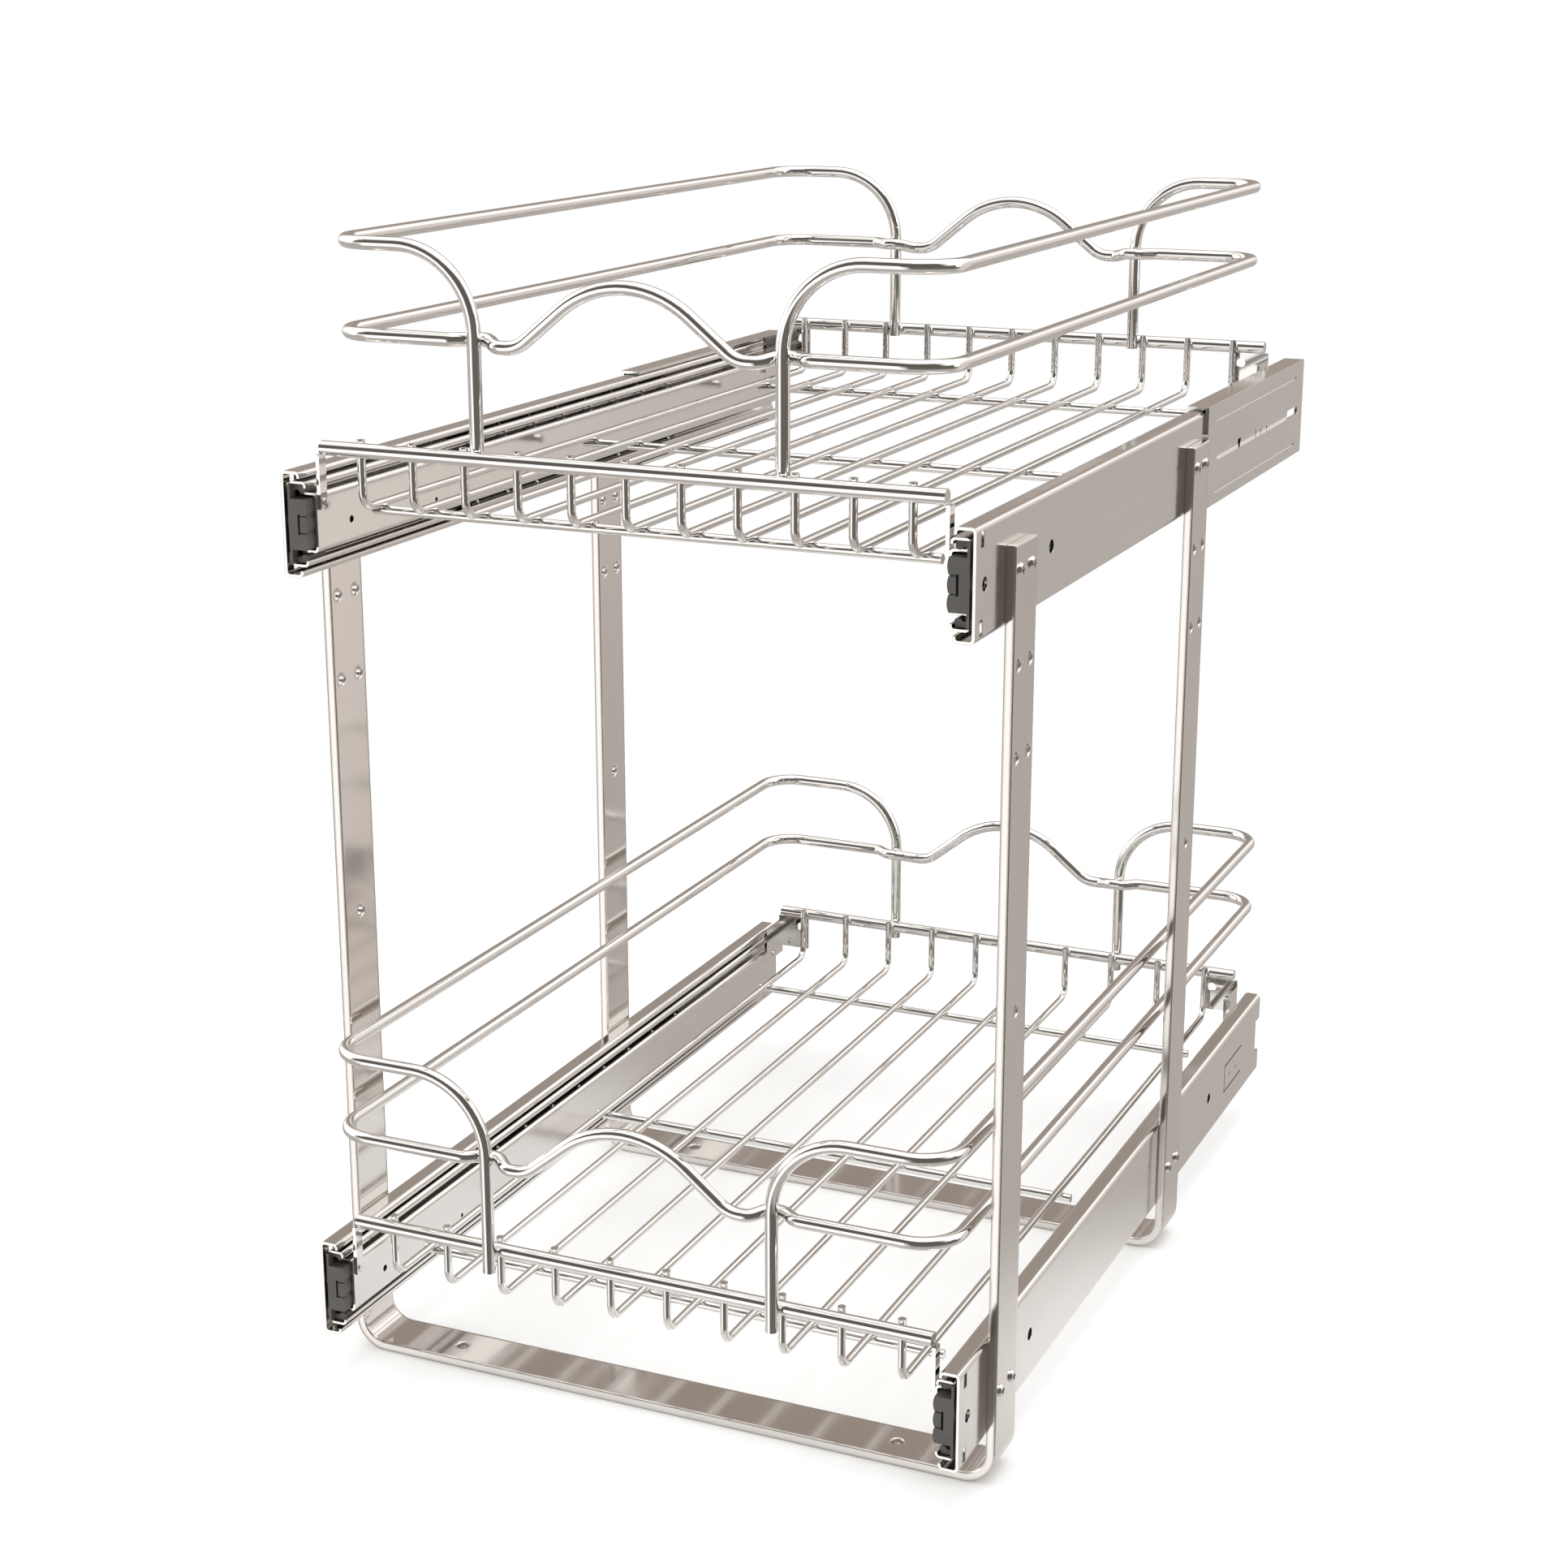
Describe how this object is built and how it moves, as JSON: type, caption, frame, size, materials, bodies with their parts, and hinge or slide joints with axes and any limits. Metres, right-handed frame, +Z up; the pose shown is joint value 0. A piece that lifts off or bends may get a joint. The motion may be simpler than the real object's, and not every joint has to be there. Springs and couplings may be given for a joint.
{
  "type": "pull-out cabinet basket",
  "caption": "Two-level pull-out chrome wire basket unit on ball-bearing slides between U-shaped strip frames, for a narrow cabinet.",
  "frame": {"origin": "middle of the four floor holes, on the underside of the two U-frames", "axes": "+Z up, +Y into the cabinet away from the user, +X to the right seen from the front; baskets pull out along -Y"},
  "size_m": [0.3032, 0.4748, 0.4909],
  "materials": {
    "wire_chrome": "polished",
    "strip_chrome": "polished",
    "slide_steel": "bright zinc plated",
    "fastener_steel": "bright zinc plated",
    "ball_steel": "polished",
    "retainer_steel": "dark oiled",
    "black_plastic": "satin"
  },
  "bodies": {
    "frame": {"front_u_frame": "strip_chrome", "rear_u_frame": "strip_chrome", "left_rear_bracket": "slide_steel", "right_rear_bracket": "slide_steel", "upper_post_screws": "fastener_steel", "lower_post_screws": "fastener_steel", "upper_left_outer_channel": "slide_steel", "upper_right_outer_channel": "slide_steel", "lower_left_outer_channel": "slide_steel", "lower_right_outer_channel": "slide_steel"},
    "upper_basket": {"upper_left_inner_channel": "slide_steel", "upper_right_inner_channel": "slide_steel", "upper_rim_wires": "wire_chrome", "upper_waist_wire": "wire_chrome", "upper_front_rod": "wire_chrome", "upper_rear_rod": "wire_chrome", "upper_floor_wires": "wire_chrome", "upper_cross_rods": "wire_chrome", "upper_front_tabs": "wire_chrome", "upper_rear_tabs": "wire_chrome", "upper_tab_rivets": "fastener_steel"},
    "upper_middle_slides": {"upper_left_middle_channel": "slide_steel", "upper_right_middle_channel": "slide_steel", "upper_left_bumper": "black_plastic", "upper_right_bumper": "black_plastic"},
    "upper_outer_ball_trains": {"upper_left_outer_retainer": "retainer_steel", "upper_right_outer_retainer": "retainer_steel", "upper_outer_balls": "ball_steel"},
    "upper_inner_ball_trains": {"upper_left_inner_retainer": "retainer_steel", "upper_right_inner_retainer": "retainer_steel", "upper_inner_balls": "ball_steel"},
    "lower_basket": {"lower_left_inner_channel": "slide_steel", "lower_right_inner_channel": "slide_steel", "lower_rim_wires": "wire_chrome", "lower_waist_wire": "wire_chrome", "lower_front_rod": "wire_chrome", "lower_rear_rod": "wire_chrome", "lower_floor_wires": "wire_chrome", "lower_cross_rods": "wire_chrome", "lower_front_tabs": "wire_chrome", "lower_rear_tabs": "wire_chrome", "lower_tab_rivets": "fastener_steel"},
    "lower_middle_slides": {"lower_left_middle_channel": "slide_steel", "lower_right_middle_channel": "slide_steel", "lower_left_bumper": "black_plastic", "lower_right_bumper": "black_plastic"},
    "lower_outer_ball_trains": {"lower_left_outer_retainer": "retainer_steel", "lower_right_outer_retainer": "retainer_steel", "lower_outer_balls": "ball_steel"},
    "lower_inner_ball_trains": {"lower_left_inner_retainer": "retainer_steel", "lower_right_inner_retainer": "retainer_steel", "lower_inner_balls": "ball_steel"}
  },
  "joints": [
    {"name": "upper_basket_slide", "type": "slide", "parent": "frame", "child": "upper_basket", "axis": [0, -1, 0], "range_m": [0, 0.45]},
    {"name": "upper_middle_slides_slide", "type": "slide", "parent": "frame", "child": "upper_middle_slides", "axis": [0, -1, 0], "range_m": [0, 0.225]},
    {"name": "upper_outer_ball_trains_slide", "type": "slide", "parent": "frame", "child": "upper_outer_ball_trains", "axis": [0, -1, 0], "range_m": [0, 0.1125]},
    {"name": "upper_inner_ball_trains_slide", "type": "slide", "parent": "frame", "child": "upper_inner_ball_trains", "axis": [0, -1, 0], "range_m": [0, 0.3375]},
    {"name": "lower_basket_slide", "type": "slide", "parent": "frame", "child": "lower_basket", "axis": [0, -1, 0], "range_m": [0, 0.45]},
    {"name": "lower_middle_slides_slide", "type": "slide", "parent": "frame", "child": "lower_middle_slides", "axis": [0, -1, 0], "range_m": [0, 0.225]},
    {"name": "lower_outer_ball_trains_slide", "type": "slide", "parent": "frame", "child": "lower_outer_ball_trains", "axis": [0, -1, 0], "range_m": [0, 0.1125]},
    {"name": "lower_inner_ball_trains_slide", "type": "slide", "parent": "frame", "child": "lower_inner_ball_trains", "axis": [0, -1, 0], "range_m": [0, 0.3375]}
  ],
  "couplings": [
    {"joint": "upper_middle_slides_slide", "follows": "upper_basket_slide", "ratio": 0.5},
    {"joint": "upper_outer_ball_trains_slide", "follows": "upper_basket_slide", "ratio": 0.25},
    {"joint": "upper_inner_ball_trains_slide", "follows": "upper_basket_slide", "ratio": 0.75},
    {"joint": "lower_middle_slides_slide", "follows": "lower_basket_slide", "ratio": 0.5},
    {"joint": "lower_outer_ball_trains_slide", "follows": "lower_basket_slide", "ratio": 0.25},
    {"joint": "lower_inner_ball_trains_slide", "follows": "lower_basket_slide", "ratio": 0.75}
  ]
}
